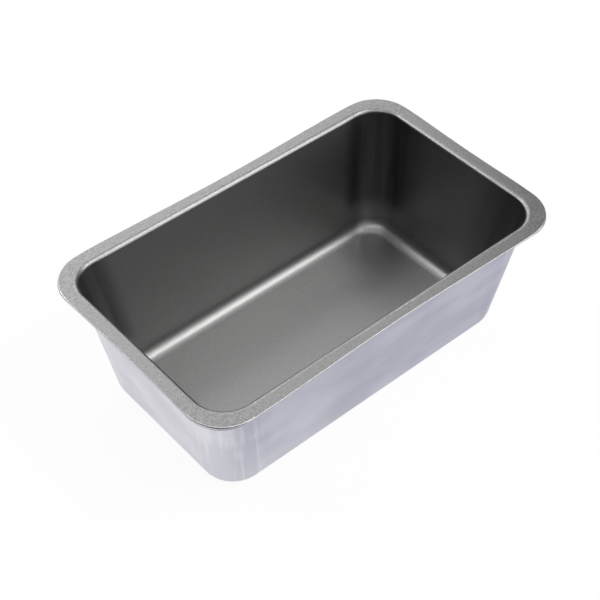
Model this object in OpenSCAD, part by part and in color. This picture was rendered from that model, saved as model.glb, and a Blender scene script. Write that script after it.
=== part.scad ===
// Loaf pan: one sheet of steel drawn into a deep tray with leaning walls, then trimmed to a flat rim.
// A non-stick coating lies over the inside and the top of the rim; the outside is bare steel.
// The base stands on z = 0 at its centre, the length runs along X and the rim faces up.

/* [Rim] */
// Length over the rim, between its trimmed corners
rim_length = 185; // [150:1:260]
// Width over the rim, between its trimmed corners
rim_width = 113; // [95:1:160]
// Width of the rim from its trimmed edge to the outside of the wall
rim_reach = 6.2; // [4:0.1:10]
// Radius of the rim's trimmed corners
rim_corner_radius = 17.2; // [10:0.1:24]
// How far the long edges of the rim are drawn in at their middle
long_edge_draw_in = 1.3; // [0:0.1:2]
// How far the short edges of the rim are drawn in at their middle
short_edge_draw_in = 0.5; // [0:0.1:2]

/* [Walls] */
// Height from the base to the top of the rim
pan_height = 62; // [40:1:90]
// Lean of the walls from upright, in degrees
wall_draft = 7.9; // [4:0.1:11]
// Outside radius of the wall corners, the same at every height
wall_corner_radius = 14.5; // [10:0.1:20]

/* [Bends] */
// Outside radius of the bend from the floor into the wall
floor_bend_radius = 7.4; // [4:0.1:10]
// Radius under the bend from the wall out into the rim
rim_bend_radius = 1.1; // [0.6:0.1:3]

/* [Sheet] */
// Thickness of the steel
steel_thickness = 0.6; // [0.4:0.05:1]
// Thickness of the coating, more than the real film has
coating_thickness = 0.2; // [0.15:0.05:0.4]

/* [Hidden] */
$fn = 64;

// Steps along the floor bend, the rim bend, a trimmed corner and half a drawn-in edge
floor_bend_steps = 10;
rim_bend_steps = 6;
trimmed_corner_steps = 16;
drawn_in_steps = 8;

sheet_thickness = steel_thickness + coating_thickness;
wall_lean = tan(wall_draft);
rim_underside = pan_height - sheet_thickness;

// The corner axes stand where the floor's straight edges end
corner_x = rim_length/2 - rim_reach - wall_lean*pan_height - wall_corner_radius;
corner_y = rim_width/2 - rim_reach - wall_lean*pan_height - wall_corner_radius;

// Centres of the two bends, outwards from a corner axis
floor_bend_centre = wall_corner_radius - floor_bend_radius*(1 - sin(wall_draft))/cos(wall_draft);
rim_bend_height = rim_underside - rim_bend_radius;
rim_bend_centre = wall_corner_radius + (rim_bend_radius + rim_bend_height*sin(wall_draft))/cos(wall_draft);

// The drawn rim runs past its trimmed edge, as far as its corners need
drawn_rim_end = rim_bend_centre + rim_reach + rim_corner_radius;

function reversed(points) = [for (i = [len(points) - 1:-1:0]) points[i]];

// One face of the sheet, from the floor's edge to the end of the drawn rim, at a depth from its outside
function sheet_face(depth) = concat(
    [for (i = [0:floor_bend_steps])
        let (turn = (90 - wall_draft)*i/floor_bend_steps)
        let (radius = floor_bend_radius - depth)
        [floor_bend_centre + radius*sin(turn), floor_bend_radius - radius*cos(turn)]],
    [for (i = [0:rim_bend_steps])
        let (turn = wall_draft + (90 - wall_draft)*i/rim_bend_steps)
        let (radius = rim_bend_radius + depth)
        [rim_bend_centre - radius*cos(turn), rim_bend_height + radius*sin(turn)]],
    [[drawn_rim_end, rim_underside + depth]]);

// The same points with the walls stood upright
function upright(points) = [for (p = points) [p[0] - wall_lean*p[1], p[1]]];

// Section of one layer of the sheet between two depths, closed along the corner axis
function layer_section(from, to) = concat(
    [[0, from]],
    upright(sheet_face(from)),
    upright(reversed(sheet_face(to))),
    [[0, to]]);

// A quarter of the trimmed outline: half a short edge, a corner and half a long edge
function trimmed_quarter() =
    let (edge_x = rim_length/2 - rim_corner_radius)
    let (edge_y = rim_width/2 - rim_corner_radius)
    concat(
        [[0, 0]],
        [for (i = [0:drawn_in_steps - 1])
            let (along = i/drawn_in_steps)
            [rim_length/2 - short_edge_draw_in*(1 + cos(180*along))/2, edge_y*along]],
        [for (i = [0:trimmed_corner_steps])
            let (turn = 90*i/trimmed_corner_steps)
            [edge_x + rim_corner_radius*cos(turn), edge_y + rim_corner_radius*sin(turn)]],
        [for (i = [drawn_in_steps - 1:-1:0])
            let (along = i/drawn_in_steps)
            [edge_x*along, rim_width/2 - long_edge_draw_in*(1 + cos(180*along))/2]]);

// Leans upright walls outwards along both X and Y, so that a corner keeps its radius at every height
module leaning() {
    multmatrix([[1, 0, wall_lean, 0], [0, 1, wall_lean, 0], [0, 0, 1, 0]])
        children();
}

// Half the wall beside a corner, with its strip of floor and rim
module half_wall(section, run) {
    rotate([90, 0, 0])
        linear_extrude(run)
            polygon(section);
}

// One drawn corner with the half walls and the floor next to it, run past the middle of the pan
module drawn_quarter(from, to) {
    section = layer_section(from, to);
    translate([corner_x, corner_y, 0])
        leaning() {
            rotate_extrude(angle = 90)
                polygon(section);
            half_wall(section, rim_width/2);
            mirror([1, -1, 0])
                half_wall(section, rim_length/2);
            translate([-rim_length/2, -rim_width/2, from])
                cube([rim_length/2, rim_width/2, to - from]);
        }
}

module with_mirror_image(direction) {
    children();
    mirror(direction)
        children();
}

// A whole layer of the pan: four drawn quarters, each trimmed to its part of the outline
module pan_layer(from, to) {
    with_mirror_image([1, 0, 0])
        with_mirror_image([0, 1, 0])
            intersection() {
                drawn_quarter(from, to);
                linear_extrude(pan_height)
                    polygon(trimmed_quarter());
            }
}

// Pressed steel sheet: floor, four walls and rim in one piece
module pan_shell() {
    color("lightsteelblue")
        pan_layer(0, steel_thickness);
}

// Baked-on coating over the floor, the inside of the walls and the top of the rim
module nonstick_coating() {
    color("dimgray")
        pan_layer(steel_thickness, sheet_thickness);
}

pan_shell();
nonstick_coating();
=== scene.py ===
"""A deep-drawn loaf pan: bare steel outside, a dark non-stick film inside and over its rim."""

import math

import bmesh
import bpy
from mathutils import Matrix, Vector


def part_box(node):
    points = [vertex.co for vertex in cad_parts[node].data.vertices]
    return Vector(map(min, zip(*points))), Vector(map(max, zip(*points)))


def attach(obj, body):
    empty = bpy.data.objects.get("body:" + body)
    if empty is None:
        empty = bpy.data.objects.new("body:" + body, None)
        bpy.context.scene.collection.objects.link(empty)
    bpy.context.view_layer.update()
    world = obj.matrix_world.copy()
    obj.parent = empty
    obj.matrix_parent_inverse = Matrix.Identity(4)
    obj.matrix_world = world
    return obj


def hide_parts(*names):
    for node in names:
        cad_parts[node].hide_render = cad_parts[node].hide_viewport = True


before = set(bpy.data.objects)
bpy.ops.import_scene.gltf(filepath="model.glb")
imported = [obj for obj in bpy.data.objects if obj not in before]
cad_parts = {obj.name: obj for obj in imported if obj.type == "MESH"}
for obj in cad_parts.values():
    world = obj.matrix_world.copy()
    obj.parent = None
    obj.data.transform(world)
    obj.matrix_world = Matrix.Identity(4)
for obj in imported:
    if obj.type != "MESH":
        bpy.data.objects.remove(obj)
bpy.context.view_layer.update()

MM = 0.001

# Sizes of the pressing, in metres and radians
shell_low, shell_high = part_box("pan_shell")
film_low, film_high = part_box("nonstick_coating")
RIM_LENGTH = shell_high.x - shell_low.x
RIM_WIDTH = shell_high.y - shell_low.y
PAN_HEIGHT = film_high.z
STEEL_THICKNESS = film_low.z
SHEET_THICKNESS = PAN_HEIGHT - shell_high.z + STEEL_THICKNESS
RIM_UNDERSIDE = PAN_HEIGHT - SHEET_THICKNESS
RIM_REACH = 6.2 * MM
RIM_CORNER_RADIUS = 17.2 * MM
LONG_EDGE_DRAW_IN = 1.3 * MM
SHORT_EDGE_DRAW_IN = 0.5 * MM
WALL_DRAFT = math.radians(7.9)
WALL_LEAN = math.tan(WALL_DRAFT)
WALL_CORNER_RADIUS = 14.5 * MM
FLOOR_BEND_RADIUS = 7.4 * MM
RIM_BEND_RADIUS = 1.1 * MM
BEND_TURN = math.pi / 2 - WALL_DRAFT

# The corner axes stand where the floor's straight edges end
FOOT_INSET = RIM_REACH + WALL_LEAN * PAN_HEIGHT + WALL_CORNER_RADIUS
CORNER_X = RIM_LENGTH / 2 - FOOT_INSET
CORNER_Y = RIM_WIDTH / 2 - FOOT_INSET

# The drawn rim starts at the end of its bend and runs on past the line where it is trimmed
DRAWN_RIM_REACH = 10 * MM
RIM_BEND_RUN = RIM_BEND_RADIUS * math.tan(BEND_TURN / 2)
RIM_BEND_END = WALL_CORNER_RADIUS + WALL_LEAN * RIM_UNDERSIDE + RIM_BEND_RUN
DRAWN_RIM_END = RIM_BEND_END + DRAWN_RIM_REACH

# Trimming turns the edge of the rim down round its corners. The turn is given by its places back
# from the edge. It is fullest at the middle of a corner and loses a share towards its ends.
LIP_PLACES = [0.6 * MM, 0.42 * MM, 0.27 * MM, 0.14 * MM, 0]
LIP_DROP = 0.8 * MM
LIP_RUN_OUT = 9 * MM
LIP_LOSS = 0.6
ARRIS_RADIUS = 0.18 * MM

# The film is scuffed along the line where the rim's bend ends, and trimming moves only what lies
# further out
SCUFF_WIDTH = 0.4 * MM
SCUFF_LINE = SCUFF_WIDTH / 4
TRIM_START = 2 * SCUFF_WIDTH

# The film is worn through along the trimmed edge, in a line that narrows round the corners, and on
# the part of the turn between two shares of it
WORN_WIDTH = 0.2 * MM
WORN_NARROWING = 0.6
TURN_WEAR, TURN_WEAR_MOST = 1.3, 0.8
TURN_WEAR_START, TURN_WEAR_END = 0.2, 0.6

# The shear leaves the lower part of the cut edge dull, and it is painted dark there as the shade
# under the rim, most of all round the corners
TORN_SHADE_REACH = 1.1 * ARRIS_RADIUS
TORN_SHADE_ON_LONG_EDGES = 0.4
TORN_SHADE_ON_SHORT_EDGES = 0.85

# Facets of the smooth rounds and steps of the straight runs
CORNER_STEPS = 28
FLOOR_BEND_STEPS = 14
RIM_BEND_STEPS = 9
ARRIS_STEPS = 3
LONG_RUN_STEPS = 12
SHORT_RUN_STEPS = 8

# Points nearer than this are one, and an edge turned further than this is sharp
MERGE = 1e-7
SHARP_ANGLE = math.radians(40)


def level_corner(depth, height):
    """Where the wall's face at a depth in the sheet would meet a level face, had it no bend."""
    out = WALL_CORNER_RADIUS - depth / math.cos(WALL_DRAFT) + WALL_LEAN * height
    return Vector((out, 0, height))


def round_bend(bm, corner, radius, steps):
    """Rounds one corner of a section to a radius."""
    before, after = [edge.other_vert(corner).co - corner.co for edge in corner.link_edges]
    turn = math.pi - before.angle(after)
    bmesh.ops.bevel(
        bm,
        geom=[corner],
        offset=radius * math.tan(turn / 2),
        offset_type="OFFSET",
        affect="VERTICES",
        segments=steps,
        profile=0.5,
        material=-1,
    )


def layer_section(near, far, rounded):
    """Open wire round one layer of the sheet: from a corner axis to the rim's end and back."""
    bm = bmesh.new()
    stops = [RIM_BEND_END + SCUFF_WIDTH, *(DRAWN_RIM_END - back for back in LIP_PLACES)]
    lower = [Vector((out, 0, RIM_UNDERSIDE + near)) for out in stops]
    upper = [Vector((out, 0, RIM_UNDERSIDE + far)) for out in reversed(stops)]
    low_bends = [level_corner(near, near), level_corner(near, RIM_UNDERSIDE + near)]
    high_bends = [level_corner(far, RIM_UNDERSIDE + far), level_corner(far, far)]
    axis_foot, axis_head = Vector((0, 0, near)), Vector((0, 0, far))
    outline = [axis_foot, *low_bends, *lower, *upper, *high_bends, axis_head]
    verts = [bm.verts.new(point) for point in outline]
    bm.faces.new(verts)
    floor_low, rim_low, *rim_end, rim_high, floor_high = verts[1:-1]
    arris = rim_end[len(stops)] if rounded == "upper" else rim_end[len(stops) - 1]
    round_bend(bm, floor_low, FLOOR_BEND_RADIUS - near, FLOOR_BEND_STEPS)
    round_bend(bm, rim_low, RIM_BEND_RADIUS + near, RIM_BEND_STEPS)
    round_bend(bm, rim_high, RIM_BEND_RADIUS + far, RIM_BEND_STEPS)
    round_bend(bm, floor_high, FLOOR_BEND_RADIUS - far, FLOOR_BEND_STEPS)
    round_bend(bm, arris, ARRIS_RADIUS, ARRIS_STEPS)
    bmesh.ops.delete(bm, geom=bm.faces[:], context="FACES_ONLY")
    on_axis = [edge for edge in bm.edges if all(vert.co.x < MERGE for vert in edge.verts)]
    for edge in on_axis:
        bm.edges.remove(edge)
    return bm


def run_to_middle(bm, wire, axis, steps):
    """Carries a wire across to the pan's middle plane in even steps."""
    for left in range(steps, 0, -1):
        made = bmesh.ops.extrude_edge_only(bm, edges=wire)["geom"]
        verts = {item for item in made if isinstance(item, bmesh.types.BMVert)}
        edges = [item for item in made if isinstance(item, bmesh.types.BMEdge)]
        wire = [edge for edge in edges if verts.issuperset(edge.verts)]
        share = Vector((1, 1, 1))
        share[axis] = (left - 1) / left
        bmesh.ops.scale(bm, vec=share, verts=list(verts))


def lean(bm, amount_x, amount_y, verts):
    """Leans verts outwards with their height, or stands leaning ones upright."""
    shear = Matrix.Identity(4)
    shear[0][2] = amount_x
    shear[1][2] = amount_y
    bmesh.ops.transform(bm, matrix=shear, verts=verts)


def drawn_quarter(near, far, rounded):
    """A quarter of one layer: a spun corner, the half walls beside it and the floor between."""
    bm = layer_section(near, far, rounded)
    lean(bm, -WALL_LEAN, 0, [vert for vert in bm.verts if vert.co.x > MERGE])
    first = bm.edges[:]
    spun = bmesh.ops.spin(
        bm,
        geom=bm.verts[:] + first,
        cent=(0, 0, 0),
        axis=(0, 0, 1),
        dvec=(0, 0, 0),
        angle=math.pi / 2,
        steps=CORNER_STEPS,
        use_merge=False,
        use_duplicate=False,
    )
    last = [item for item in spun["geom_last"] if isinstance(item, bmesh.types.BMEdge)]
    lean(bm, WALL_LEAN, WALL_LEAN, bm.verts[:])
    bmesh.ops.translate(bm, vec=(CORNER_X, CORNER_Y, 0), verts=bm.verts[:])
    run_to_middle(bm, first, 1, SHORT_RUN_STEPS)

    def on_floor_line(vert):
        off_axis = vert.co.x - CORNER_X - WALL_LEAN * vert.co.z
        return abs(off_axis) < MERGE and vert.co.z < SHEET_THICKNESS + MERGE

    open_edges = [edge for edge in bm.edges if edge.is_boundary]
    floor_line = [edge for edge in open_edges if all(map(on_floor_line, edge.verts))]
    run_to_middle(bm, last, 0, LONG_RUN_STEPS)
    run_to_middle(bm, floor_line, 0, LONG_RUN_STEPS)
    bmesh.ops.remove_doubles(bm, verts=bm.verts[:], dist=MERGE)
    return bm


def drawn_in(depth, along):
    """How far a rim edge is drawn in at a share of the way from its middle to its corner."""
    return depth * (1 + math.cos(math.pi * along)) / 2


def smooth_step(value):
    """A value held between 0 and 1 that leaves both ends gently."""
    value = min(max(value, 0), 1)
    return value * value * (3 - 2 * value)


def trim_rim(bm):
    """Moves the rim's end to its trimmed outline, turns its corners down and marks bare metal."""
    bare = bm.verts.layers.float.new("bare_edge")
    scuffed = bm.verts.layers.float.new("scuffed_bend")
    torn_and_shade = bm.verts.layers.float.new("torn_and_shaded_edge")
    for vert in bm.verts:
        x, y, z = vert.co
        axis_x = CORNER_X + WALL_LEAN * z
        axis_y = CORNER_Y + WALL_LEAN * z
        out = Vector((max(x - axis_x, 0), max(y - axis_y, 0), 0))
        past_bend = out.length - RIM_BEND_END + WALL_LEAN * z
        vert[scuffed] = abs(past_bend) < SCUFF_LINE and z > RIM_UNDERSIDE
        if past_bend < TRIM_START or z < RIM_UNDERSIDE - MERGE:
            continue
        back = DRAWN_RIM_END - RIM_BEND_END - past_bend
        way = out.normalized()
        along_x, along_y = min(x / axis_x, 1), min(y / axis_y, 1)
        edge = Vector((
            (RIM_LENGTH / 2 - RIM_CORNER_RADIUS) * along_x
            + way.x * (RIM_CORNER_RADIUS - drawn_in(SHORT_EDGE_DRAW_IN, along_y)),
            (RIM_WIDTH / 2 - RIM_CORNER_RADIUS) * along_y
            + way.y * (RIM_CORNER_RADIUS - drawn_in(LONG_EDGE_DRAW_IN, along_x)),
            z,
        ))
        run = max((1 - along_x) * axis_x, (1 - along_y) * axis_y)
        cornering = (1 - smooth_step(run / LIP_RUN_OUT)) * (1 - LIP_LOSS * abs(way.x - way.y))
        turned = max(1 - back / LIP_PLACES[0], 0)
        vert.co = edge - way * back - Vector((0, 0, LIP_DROP * turned ** 3 * cornering))
        worn_arris = smooth_step(1 - back / (WORN_WIDTH * (1 - WORN_NARROWING * cornering)))
        on_turn = TURN_WEAR_START < turned < TURN_WEAR_END
        worn_turn = min(TURN_WEAR * cornering, TURN_WEAR_MOST) if on_turn else 0
        vert[bare] = max(worn_arris, worn_turn)
        # The lower cut edge is marked for dull sheared steel painted dark as the shade under the
        # rim
        if max(z - RIM_UNDERSIDE, back) < TORN_SHADE_REACH:
            vert[torn_and_shade] = max(cornering, TORN_SHADE_ON_SHORT_EDGES * way.x, TORN_SHADE_ON_LONG_EDGES)


def pan_layer(name, near, far, rounded, node, material):
    """One layer of the pan, between two depths in the sheet, as a smooth closed piece."""
    bm = drawn_quarter(near, far, rounded)
    trim_rim(bm)
    for axis in "XY":
        whole = bm.verts[:] + bm.edges[:] + bm.faces[:]
        bmesh.ops.mirror(bm, geom=whole, merge_dist=MERGE, axis=axis)
    bmesh.ops.remove_doubles(bm, verts=bm.verts[:], dist=MERGE)
    bmesh.ops.recalc_face_normals(bm, faces=bm.faces[:])
    for face in bm.faces:
        face.smooth = True
    for edge in bm.edges:
        edge.smooth = edge.calc_face_angle(0) < SHARP_ANGLE
    mesh = bpy.data.meshes.new(name)
    bm.to_mesh(mesh)
    bm.free()
    mesh.materials.append(material)
    piece = bpy.data.objects.new(name, mesh)
    bpy.context.scene.collection.objects.link(piece)
    normals = piece.modifiers.new("flat_walls", "WEIGHTED_NORMAL")
    normals.keep_sharp = True
    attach(piece, "root")
    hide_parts(node)


class Finish:
    """One value in a material's shader. Arithmetic on it adds Math nodes to the same shader."""

    def __init__(self, tree, socket=None):
        self.tree = tree
        self.socket = socket

    def node(self, kind, settings=None, inputs=None, output=0):
        """Adds a node, sets it up, fills or links its sockets, and gives one of its outputs."""
        made = self.tree.nodes.new(kind)
        for name, value in (settings or {}).items():
            setattr(made, name, value)
        for name, value in (inputs or {}).items():
            if isinstance(value, Finish):
                self.tree.links.new(value.socket, made.inputs[name])
            else:
                made.inputs[name].default_value = value
        return Finish(self.tree, made.outputs[output] if made.outputs else None)

    def math(self, operation, *values):
        """Adds one Math node."""
        return self.node("ShaderNodeMath", {"operation": operation}, dict(enumerate(values)))

    def __add__(self, other):
        return self.math("ADD", self, other)

    def __sub__(self, other):
        return self.math("SUBTRACT", self, other)

    def __rsub__(self, other):
        return self.math("SUBTRACT", other, self)

    def __mul__(self, other):
        return self.math("MULTIPLY", self, other)

    def __truediv__(self, other):
        return self.math("DIVIDE", self, other)

    def __rtruediv__(self, other):
        return self.math("DIVIDE", other, self)

    def __abs__(self):
        return self.math("ABSOLUTE", self)

    __radd__ = __add__
    __rmul__ = __mul__

    def or_more(self, other):
        """The greater of two values."""
        return self.math("MAXIMUM", self, other)

    def between(self, low, high):
        """This value spread from 0 at low to 1 at high, held at both ends."""
        settings = {"clamp": True, "interpolation_type": "SMOOTHSTEP"}
        ends = {"Value": self, "From Min": low, "From Max": high, "To Min": 0.0, "To Max": 1.0}
        return self.node("ShaderNodeMapRange", settings, ends)

    def blend(self, dark, light):
        """A colour that goes from dark to light as this value goes from 0 to 1."""
        return self.node("ShaderNodeMix", {"data_type": "RGBA"}, {0: self, 6: dark, 7: light}, 2)


def new_material(name):
    """An empty material and the start of its shader."""
    material = bpy.data.materials.new(name)
    material.use_nodes = True
    material.node_tree.nodes.clear()
    return material, Finish(material.node_tree)


def object_place(start):
    """Position on the piece, in metres."""
    return start.node("ShaderNodeTexCoord", None, None, "Object")


def marked(start, name):
    """A mark that the mesh carries from its making."""
    return start.node("ShaderNodeAttribute", {"attribute_name": name}, None, "Fac")


def raised(start, height):
    """Normals of a surface raised by so many metres."""
    return start.node("ShaderNodeBump", None, {"Strength": 1.0, "Distance": 1.0, "Height": height})


# Noise runs from 0 to 1 about its middle
NOISE_MIDDLE = 0.5


def grain(start, place, per_metre, detail=2.0):
    """Cloudy noise with so many clouds to the metre."""
    inputs = {"Vector": place, "Scale": per_metre, "Detail": detail}
    return start.node("ShaderNodeTexNoise", None, inputs)


def axes_of(start, place):
    """The X, Y and Z of a position."""
    return [start.node("ShaderNodeSeparateXYZ", None, {"Vector": place}, axis) for axis in "XYZ"]


def stretched(start, place, shares):
    """Position squeezed along its axes, so that noise on it stretches."""
    return start.node("ShaderNodeVectorMath", {"operation": "MULTIPLY"}, {0: place, 1: shares})


def finish_with(start, **sockets):
    """Ends a material in one Principled shader."""
    inputs = {name.replace("_", " "): value for name, value in sockets.items()}
    shader = start.node("ShaderNodeBsdfPrincipled", None, inputs)
    start.node("ShaderNodeOutputMaterial", None, {"Surface": shader})


# Draw streaks run up the walls near the corners, where the sheet flows most. They fade along the
# walls between two shares of the way out, and a share of 1 is at a corner's axis.
STREAKS_PER_METRE = 330
STREAK_FLATTENING = 0.05
LONG_WALL_START, LONG_WALL_FULL = 0.88, 1.02
SHORT_WALL_START, SHORT_WALL_FULL = 0.78, 1.03


def wall_shares(start, place):
    """How far out a place is along X and Y, with 1 where a corner's axis stands at its height."""
    x, y, height = axes_of(start, place)
    return x / (height * WALL_LEAN + CORNER_X), y / (height * WALL_LEAN + CORNER_Y), height


def draw_streaks(start, place, detail=2.0):
    """Noise in streaks that run up the leaning walls."""
    share_x, share_y, height = wall_shares(start, place)
    axes = {"X": share_x * CORNER_X, "Y": share_y * CORNER_Y, "Z": height * STREAK_FLATTENING}
    upright = start.node("ShaderNodeCombineXYZ", None, axes)
    return grain(start, upright, STREAKS_PER_METRE, detail)


def near_corners(start, place, short_wall_start=SHORT_WALL_START):
    """A mask that is 1 round the four corners and fades along the walls."""
    share_x, share_y, _ = wall_shares(start, place)
    on_long_wall = abs(share_x).between(LONG_WALL_START, LONG_WALL_FULL)
    on_short_wall = abs(share_y).between(short_wall_start, SHORT_WALL_FULL)
    return on_long_wall * on_short_wall


# Bare steel: how many marks to the metre, how much they change the tone, and how high they stand
STEEL_DARK, STEEL_LIGHT = (0.61, 0.61, 0.665, 1), (0.74, 0.74, 0.79, 1)
# Near black painted on the lower cut edge as the shade under the rim
STEEL_TORN_AND_SHADE = (0.10, 0.10, 0.10, 1)
STEEL_ROUGHNESS = 0.30
BANDS_PER_METRE, BAND_SQUEEZE, BAND_TONE = 75, (0.22, 0.22, 1), 0.55
CLOUDS_PER_METRE, CLOUD_TONE = 38, 0.45
STREAK_TONE, STREAK_ROUGHNESS, STREAK_HEIGHT = 1.1, 0.2, 0.02 * MM
ROLLED_PER_METRE, ROLLED_ROUGHNESS, ROLLED_HEIGHT = 2400, 0.05, 0.0006 * MM
WAVES_PER_METRE, WAVE_SQUEEZE, WAVE_HEIGHT = 60, (0.5, 0.5, 1), 0.10 * MM
TONE_LOW, TONE_HIGH = 0.36, 0.64
TORN_SHADE_LOW, TORN_SHADE_HIGH = 0.4, 0.7
TORN_ROUGHNESS = 0.3


def bare_steel():
    """Bright drawn sheet: soft bands, draw streaks round the corners and a faint rolled grain."""
    material, start = new_material("bare_drawn_steel")
    place = object_place(start)
    bands = grain(start, stretched(start, place, BAND_SQUEEZE), BANDS_PER_METRE)
    clouds = grain(start, place, CLOUDS_PER_METRE)
    rolled = grain(start, place, ROLLED_PER_METRE)
    waves = grain(start, stretched(start, place, WAVE_SQUEEZE), WAVES_PER_METRE, detail=1.0)
    streaks = draw_streaks(start, place, detail=3.0)
    drawn = (streaks - NOISE_MIDDLE) * near_corners(start, place)
    tone = bands * BAND_TONE + clouds * CLOUD_TONE + drawn * STREAK_TONE
    sheet = tone.between(TONE_LOW, TONE_HIGH).blend(STEEL_DARK, STEEL_LIGHT)
    # Painted shade: the lower cut edge is painted near black as the shadow under the rim, over its
    # dull sheared steel
    torn_and_shade = marked(start, "torn_and_shaded_edge").between(TORN_SHADE_LOW, TORN_SHADE_HIGH)
    colour = torn_and_shade.blend(sheet, STEEL_TORN_AND_SHADE)
    smear = drawn * STREAK_ROUGHNESS + rolled * ROLLED_ROUGHNESS
    rough = STEEL_ROUGHNESS + smear + torn_and_shade * TORN_ROUGHNESS
    height = waves * WAVE_HEIGHT + drawn * STREAK_HEIGHT + rolled * ROLLED_HEIGHT
    bump = raised(start, height)
    finish_with(start, Base_Color=colour, Metallic=1.0, Roughness=rough, Normal=bump)
    return material


# Non-stick film: its tones, its speckle on walls, rim and rim corners, and the shade painted
# darker round its inside corners and along its short walls
FILM_DARK, FILM_LIGHT = (0.215, 0.213, 0.211, 1), (0.347, 0.345, 0.342, 1)
FILM_PAINTED_SHADE = (0.115, 0.115, 0.119, 1)
FILM_WORN = (0.66, 0.66, 0.67, 1)
FILM_ROUGHNESS = 0.36
FILM_STREAK_TONE, FILM_STREAK_ROUGHNESS = 0.1, 0.06
RIM_FILM_START, RIM_FILM_FULL = PAN_HEIGHT - 1.2 * MM, PAN_HEIGHT - 0.3 * MM
FINE_SPECKS_PER_METRE, FINE_SPECK_TONE, FINE_SPECK_HEIGHT = 2200, 0.5, 0.004 * MM
COARSE_SPECKS_PER_METRE, COARSE_SPECK_TONE, COARSE_SPECK_HEIGHT = 900, 0.5, 0.010 * MM
COARSE_SPECK_ROUGHNESS = 0.05
WALL_SPECKLE, RIM_SPECKLE, RIM_CORNER_SPECKLE = 0.4, 0.6, 0.7
WALL_RELIEF, RIM_RELIEF = 0.5, 0.8
SPECKLE_LOW, SPECKLE_HIGH = 0.2, 0.8
# Painted shade on the film's walls: how dark it is evenly and in streaks, how far it reaches along
# the short walls, and where it fades in above the foot
SHADE_EVEN, SHADE_STREAKED = 0.86, 0.14
SHADE_STREAK_LOW, SHADE_STREAK_HIGH = 0.38, 0.58
SHADE_SHORT_WALL_START = 0.25
SHADE_FOOT, SHADE_FULL = 8 * MM, 20 * MM

# Wear through the film: a ragged line along the edge, and dashes in patches along the rim's bend
WORN_RAGGEDNESS = 0.3
WORN_LOW, WORN_HIGH = 0.35, 0.6
SCUFF_LOW, SCUFF_HIGH, SCUFF_STRENGTH = 0.4, 0.9, 0.7
PATCHES_PER_METRE, PATCH_LOW, PATCH_HIGH = 28, 0.52, 0.62
DASHES_PER_METRE, DASH_LOW, DASH_HIGH = 1100, 0.5, 0.62


def nonstick_film():
    """Dark satin film: speckled most on the rim, painted darker as shade round the corners and
    along the short walls, and worn to bright metal along the trimmed edge."""
    material, start = new_material("speckled_nonstick_film")
    place = object_place(start)
    height = axes_of(start, place)[2]
    on_rim = height.between(RIM_FILM_START, RIM_FILM_FULL)
    fine = grain(start, place, FINE_SPECKS_PER_METRE)
    coarse = grain(start, place, COARSE_SPECKS_PER_METRE)
    streaks = draw_streaks(start, place)
    corners = near_corners(start, place)
    drawn = (streaks - NOISE_MIDDLE) * corners

    specks = fine * FINE_SPECK_TONE + coarse * COARSE_SPECK_TONE - NOISE_MIDDLE
    strength = WALL_SPECKLE + on_rim * (RIM_SPECKLE + corners * RIM_CORNER_SPECKLE)
    speckle = NOISE_MIDDLE + specks * strength + drawn * FILM_STREAK_TONE
    speckled = speckle.between(SPECKLE_LOW, SPECKLE_HIGH).blend(FILM_DARK, FILM_LIGHT)
    # Painted shade: the film's walls are darkened in streaks round the inside corners and along
    # the short walls, above the foot and below the rim
    streaked = streaks.between(SHADE_STREAK_LOW, SHADE_STREAK_HIGH)
    shade_amount = SHADE_EVEN + streaked * SHADE_STREAKED
    on_walls = near_corners(start, place, SHADE_SHORT_WALL_START)
    above_foot = height.between(SHADE_FOOT, SHADE_FULL)
    painted_shade = shade_amount * on_walls * above_foot * (1 - on_rim)
    film = painted_shade.blend(speckled, FILM_PAINTED_SHADE)

    worn = marked(start, "bare_edge") + (fine + coarse - 2 * NOISE_MIDDLE) * WORN_RAGGEDNESS
    patches = grain(start, place, PATCHES_PER_METRE, detail=1.0).between(PATCH_LOW, PATCH_HIGH)
    dashes = grain(start, place, DASHES_PER_METRE).between(DASH_LOW, DASH_HIGH)
    scuffs = marked(start, "scuffed_bend").between(SCUFF_LOW, SCUFF_HIGH) * patches * dashes
    bare = worn.between(WORN_LOW, WORN_HIGH).or_more(scuffs * SCUFF_STRENGTH)
    colour = bare.blend(film, FILM_WORN)

    rough = FILM_ROUGHNESS + coarse * COARSE_SPECK_ROUGHNESS + drawn * FILM_STREAK_ROUGHNESS
    relief = coarse * COARSE_SPECK_HEIGHT + fine * FINE_SPECK_HEIGHT
    bump = raised(start, relief * (WALL_RELIEF + on_rim * RIM_RELIEF))
    finish_with(start, Base_Color=colour, Metallic=1.0, Roughness=rough, Normal=bump)
    return material


WHITE = (1, 1, 1, 1)

# The white table: how white the camera and the metal see it, and where a painted shadow makes
# reflections see it dimmer
TABLE_REACH = 4
TABLE_GAP = 0.1 * MM
TABLE_PAINT = (0.86, 0.86, 0.86, 1)
TABLE_TO_CAMERA = 0.93
TABLE_TO_METAL = 0.8
TABLE_PAINTED_SHADOW = (0.55, 0.56, 0.62, 1)
DIM_WAY_X, DIM_WAY_Y = 0.3, -0.95
DIM_FADE = 60 * MM


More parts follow.
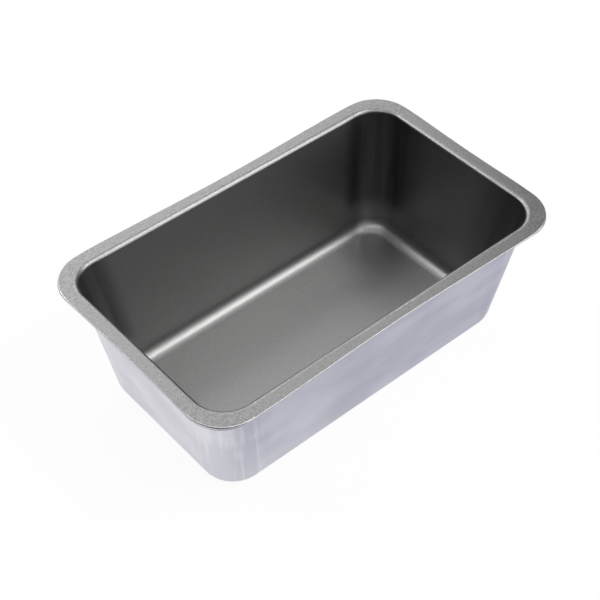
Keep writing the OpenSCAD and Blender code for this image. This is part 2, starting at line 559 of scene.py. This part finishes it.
def studio_floor():
    """White table that keeps a soft shadow, with a painted shadow that reflections see in front of
    a long side.
    """
    material, start = new_material("white_table")
    rays = [f"Is {ray} Ray" for ray in ("Camera", "Glossy", "Transmission")]
    camera, glossy, through = [start.node("ShaderNodeLightPath", None, None, ray) for ray in rays]
    white_share = camera * TABLE_TO_CAMERA + (glossy + through) * TABLE_TO_METAL
    x, y, _ = axes_of(start, object_place(start))
    # Painted shadow: reflections see the table darker and bluer in front of one long side, while
    # the camera sees it white
    painted_shadow_side = (x * DIM_WAY_X + y * DIM_WAY_Y).between(0.0, DIM_FADE) * (1 - camera)
    glow = painted_shadow_side.blend(WHITE, TABLE_PAINTED_SHADOW)
    lit = start.node("ShaderNodeBsdfDiffuse", None, {"Color": TABLE_PAINT})
    white = start.node("ShaderNodeEmission", None, {"Color": glow, "Strength": 1.0})
    mixed = start.node("ShaderNodeMixShader", None, {0: white_share, 1: lit, 2: white})
    start.node("ShaderNodeOutputMaterial", None, {"Surface": mixed})
    bm = bmesh.new()
    bmesh.ops.create_grid(bm, x_segments=1, y_segments=1, size=TABLE_REACH)
    bmesh.ops.translate(bm, vec=(0, 0, -TABLE_GAP), verts=bm.verts[:])
    mesh = bpy.data.meshes.new("table")
    bm.to_mesh(mesh)
    bm.free()
    mesh.materials.append(material)
    table = bpy.data.objects.new("table", mesh)
    bpy.context.scene.collection.objects.link(table)


# Camera, found by fitting the pan's edges in the photograph
CAMERA_PLACE = Vector((-270.3, -312.1, 454.9)) * MM
CAMERA_YAW, CAMERA_PITCH, CAMERA_ROLL = -0.70595, 0.80071, -0.0069
LENS, SENSOR_WIDTH = 83.61, 36
NEAREST_SEEN = 10 * MM


def photo_camera():
    """The camera at the photograph's place."""
    data = bpy.data.cameras.new("photo_camera")
    data.sensor_width = SENSOR_WIDTH
    data.lens = LENS
    data.clip_start = NEAREST_SEEN
    camera = bpy.data.objects.new("photo_camera", data)
    bpy.context.scene.collection.objects.link(camera)
    turn = Matrix.Rotation(CAMERA_YAW, 4, "Z")
    tilt = Matrix.Rotation(math.pi / 2 - CAMERA_PITCH, 4, "X")
    roll = Matrix.Rotation(CAMERA_ROLL, 4, "Z")
    camera.matrix_world = Matrix.Translation(CAMERA_PLACE) @ turn @ tilt @ roll
    bpy.context.scene.camera = camera


# Soft panels of light: turn from the camera's side and rise in degrees, size in metres, and glow
PANEL_DISTANCE = 0.9
PANELS = {
    "key_panel": (84, 55, (0.34, 0.30), 7.4),
    "side_panel": (75, 24, (0.95, 0.70), 2.6),
    "back_panel": (200, 32, (0.9, 0.65), 1.7),
    "left_panel": (250, 45, (0.48, 0.44), 4.1),
    "front_panel": (352, 58, (0.9, 0.36), 2.2),
    "top_panel": (165, 76, (0.85, 0.8), 1.1),
}


def soft_panel(name, turn, rise, size, glow):
    """An oblong panel of soft light, aimed at the pan."""
    data = bpy.data.lights.new(name, "AREA")
    data.shape = "RECTANGLE"
    data.size, data.size_y = size
    data.energy = glow * math.pi * size[0] * size[1]
    panel = bpy.data.objects.new(name, data)
    bpy.context.scene.collection.objects.link(panel)
    heading = CAMERA_YAW - math.pi / 2 + math.radians(turn)
    climb = math.radians(rise)
    level = math.cos(climb)
    way = Vector((math.cos(heading) * level, math.sin(heading) * level, math.sin(climb)))
    aim = way.to_track_quat("Z", "Y").to_matrix().to_4x4()
    panel.matrix_world = Matrix.Translation(way * PANEL_DISTANCE) @ aim


# What the pan sees between the panels
ROOM_TONE = (0.027, 0.031, 0.037, 1)


def studio_world():
    """A dim, slightly blue room round the panels; plain white to the camera."""
    world = bpy.data.worlds.new("dim_room")
    world.use_nodes = True
    world.node_tree.nodes.clear()
    bpy.context.scene.world = world
    start = Finish(world.node_tree)
    seen = start.node("ShaderNodeLightPath", None, None, "Is Camera Ray")
    colour = seen.blend(ROOM_TONE, WHITE)
    light = start.node("ShaderNodeBackground", None, {"Color": colour, "Strength": 1.0})
    start.node("ShaderNodeOutputWorld", None, {"Surface": light})


pan_layer(
    "drawn_steel_shell",
    near=0,
    far=STEEL_THICKNESS,
    rounded="lower",
    node="pan_shell",
    material=bare_steel(),
)
pan_layer(
    "nonstick_film",
    near=STEEL_THICKNESS,
    far=SHEET_THICKNESS,
    rounded="upper",
    node="nonstick_coating",
    material=nonstick_film(),
)
studio_floor()
photo_camera()
for panel_name, panel_place in PANELS.items():
    soft_panel(panel_name, *panel_place)
studio_world()
bpy.context.scene.view_settings.view_transform = "Standard"
